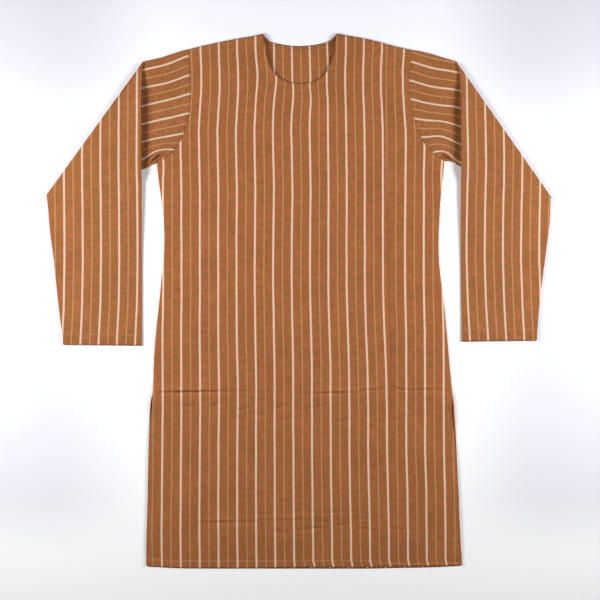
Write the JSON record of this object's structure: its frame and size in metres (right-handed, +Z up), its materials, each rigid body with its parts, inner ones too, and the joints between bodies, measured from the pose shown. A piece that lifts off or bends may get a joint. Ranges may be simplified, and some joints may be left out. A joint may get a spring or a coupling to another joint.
{
  "type": "straight long tunic laid flat",
  "caption": "Long straight cotton tunic with a round neck, side slits and long sleeves, laid flat with its sleeves folded forward.",
  "frame": {"origin": "middle of the laid garment's box, on the surface that it lies on", "axes": "+X to the right of the laid garment as seen from above with the neck away, +Y from hem to neck, +Z up out of the surface"},
  "size_m": [0.9846, 1.043, 0.0091],
  "materials": {
    "striped_cotton_body": "matt handloom cotton, rust brown with fine cream and tan stripes",
    "striped_cotton_sleeve": "the same striped cotton, a little lighter where it lies double",
    "facing_cotton": "the same cotton turned to its inside"
  },
  "bodies": {
    "root": {"back_panel": "striped_cotton_body", "front_panel": "striped_cotton_body", "front_side_panel": "striped_cotton_body", "back_neck_facing": "facing_cotton", "sleeve_left": "striped_cotton_sleeve", "sleeve_right": "striped_cotton_sleeve"}
  },
  "joints": []
}
